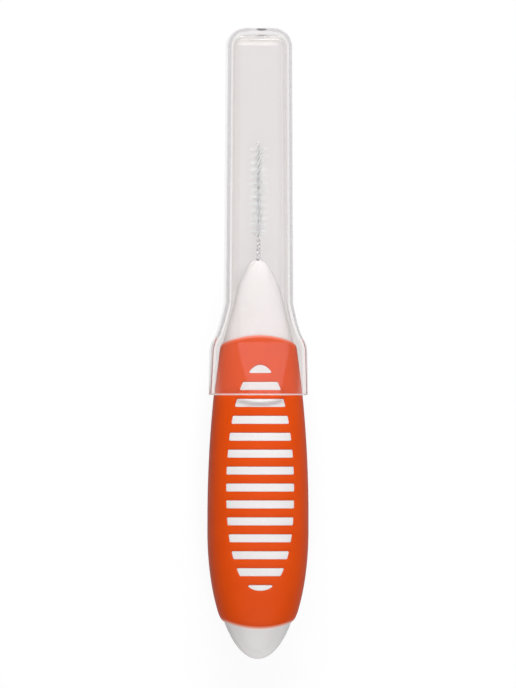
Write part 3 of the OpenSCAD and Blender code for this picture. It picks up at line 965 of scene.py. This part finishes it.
def makeCap():
    edge, radius = cap["ventEdge"], cap["ventRadius"]
    inside = capTop - cap["endWall"]
    outer = capRings(0, capSeat, capTop, cap["rimRound"])
    inner = capRings(cap["wall"], capSeat, inside, cap["rimRound"])
    vent = [ventRing(capTop, radius + edge), ventRing(capTop - edge, radius),
            ventRing(inside + edge, radius), ventRing(inside, radius + edge)]
    rings = outer + vent + inner[::-1]
    n = len(rings[0])
    starts = [k * n for k in range(len(rings))]
    faces = [(a + i, a + (i + 1) % n, b + (i + 1) % n, b + i)
             for a, b in zip(starts, starts[1:] + starts[:1]) for i in range(n)]
    return addPiece("travel_cap", [point for ring in rings for point in ring], faces, cap)


makeCore()
makeGrip()
makeWire()
makeBristles()
makeCap()

# Stage: a pale board, a pale room and three soft lamps
stage = {
    "floorSize": 3.0,
    "floorGap": 0.02,        # mm between the floor and the brush
    "shadeShare": 0.1,       # how much of the floor's own shading the camera sees
    "bounce": 0.1,           # how much of its light the floor throws back at the brush
    "room": 0.07,            # brightness of the room
    "roomColour": "#F6F6F8",
    "ceiling": (0.1, 0.3),   # heights, as sines, between which reflections turn from backdrop to room
}


# Coated card: an even matt white. The camera sees little of its own shading, so that it stays pale,
# and rays off gloss or through clear walls see the same
def paleBoard():
    made, tree = newMaterial("pale matt board")
    speckle = objectNoise(tree, 1.5)  # the real grain of card is too fine to show
    board = addNode(tree, "BsdfDiffuse", {}, {"Color": twoTone(tree, speckle, "#F6F6F6", "#FAFAFA")})
    dim = addNode(tree, "BsdfDiffuse", {"Color": (stage["bounce"],) * 3 + (1,)})
    glow = addNode(tree, "Emission", {"Color": (1, 1, 1, 1), "Strength": 1.0})
    rays = addNode(tree, "LightPath")
    board = addNode(tree, "MixShader", {}, {0: rays.outputs["Is Diffuse Ray"], 1: board, 2: dim})
    seen = rays.outputs["Is Camera Ray"]
    for ray in ("Is Glossy Ray", "Is Transmission Ray"):
        seen = addNode(tree, "Math", {"operation": "MAXIMUM"}, {0: seen, 1: rays.outputs[ray]})
    part = addNode(tree, "Math", {"operation": "MULTIPLY", 1: 1 - stage["shadeShare"]}, {0: seen})
    mix = addNode(tree, "MixShader", {}, {0: part, 1: board, 2: glow})
    addNode(tree, "OutputMaterial", {}, {"Surface": mix})
    return made


def makeStage():
    size = stage["floorSize"]
    bpy.ops.mesh.primitive_plane_add(size=size, location=(0, 0, cadLow.z - stage["floorGap"] * mm))
    floor = bpy.context.object
    floor.name = "floor"
    floor.data.materials.append(paleBoard())
    world = bpy.data.worlds.new("pale room")
    bpy.context.scene.world = world
    world.use_nodes = True
    tree = world.node_tree
    tree.nodes.clear()
    rays = addNode(tree, "LightPath")
    height = addNode(tree, "SeparateXYZ", {},
                     {0: addNode(tree, "TexCoord").outputs["Generated"]}).outputs["Z"]
    low, high = stage["ceiling"]
    settings = {"From Min": low, "From Max": high, "To Min": 1.0, "To Max": 0.0}
    horizon = addNode(tree, "MapRange", settings, {"Value": height})
    glossy = addNode(tree, "Math", {"operation": "MULTIPLY"}, {
        0: rays.outputs["Is Glossy Ray"], 1: horizon})
    # Light that a clear wall has thrown to and fro comes from the backdrop too
    settings = {"operation": "GREATER_THAN", 1: clear["trappedDepth"]}
    deep = addNode(tree, "Math", settings, {0: rays.outputs["Glossy Depth"]})
    seen = rays.outputs["Is Camera Ray"]
    for ray in (rays.outputs["Is Transmission Ray"], glossy, deep):
        seen = addNode(tree, "Math", {"operation": "MAXIMUM"}, {0: seen, 1: ray})
    settings = {"Color": linearColour(stage["roomColour"]), "Strength": stage["room"]}
    room = addNode(tree, "Background", settings)
    backdrop = addNode(tree, "Background", {"Color": (1, 1, 1, 1), "Strength": 1.0})
    mix = addNode(tree, "MixShader", {}, {0: seen, 1: room, 2: backdrop})
    addNode(tree, "OutputWorld", {}, {"Surface": mix})


# Each lamp: where it hangs, its size and its power, all in metres and watts. The two that aren't
# mirrored would lay hard bars of light on the cap
lamps = {
    "overhead softbox": {"at": (0.18, 0.0, 0.7), "size": (0.45, 0.42), "watts": 0.38, "colour": "#E6EAFF"},
    "upper strip light": {"at": (0.0, 0.62, 0.29), "size": (0.45, 0.06), "watts": 5.55, "mirrored": False},
    "lower softbox": {"at": (0.0, -0.45, 0.52), "size": (0.45, 0.5), "watts": 3.7, "mirrored": False},
}


def makeLamps():
    for name, facts in lamps.items():
        light = bpy.data.lights.new(name, "AREA")
        light.shape = "RECTANGLE"
        light.size, light.size_y = facts["size"]
        light.energy = facts["watts"]
        light.color = linearColour(facts.get("colour", "#FFFFFF"))[:3]
        made = bpy.data.objects.new(name, light)
        bpy.context.scene.collection.objects.link(made)
        made.location = facts["at"]
        made.rotation_euler = (Vector((0, 0, axisZ)) - made.location).to_track_quat("-Z", "Y").to_euler()
        made.visible_glossy = facts.get("mirrored", True)


# Camera: straight over the brush, which lies rolled a little on its back
camera = {
    "lens": 1000,
    "pixelsPerMm": 7.5,
    "imageHeight": 688,
    "aim": (-0.03, -0.07),     # mm from the middle of the brush to the middle of the picture
    "rolled": 4.8,             # degrees that the view stands to the left of straight over
    "turned": 0.09,            # degrees that the brush leans to the right in the picture
    "clip": (0.01, 20),        # metres
}


def makeCamera():
    data = bpy.data.cameras.new("camera")
    data.lens = camera["lens"]
    distance = camera["imageHeight"] / camera["pixelsPerMm"] * mm * data.lens / data.sensor_width
    rolled, turned = math.radians(camera["rolled"]), math.radians(camera["turned"])
    back = Vector((-math.sin(rolled), 0, math.cos(rolled)))
    up = Vector((-math.sin(turned), math.cos(turned), 0))
    right = up.cross(back).normalized()
    up = back.cross(right)
    made = bpy.data.objects.new("camera", data)
    bpy.context.scene.collection.objects.link(made)
    middle = Vector((camera["aim"][0] * mm, (cadLow.y + cadHigh.y) / 2 + camera["aim"][1] * mm, axisZ))
    turn = Matrix((right, up, back)).transposed().to_4x4()
    made.matrix_world = Matrix.Translation(middle + back * distance) @ turn
    data.clip_start, data.clip_end = camera["clip"]
    bpy.context.scene.camera = made


makeStage()
makeLamps()
makeCamera()
bpy.context.scene.view_settings.view_transform = "Standard"
print("stage, lamps and camera in place")
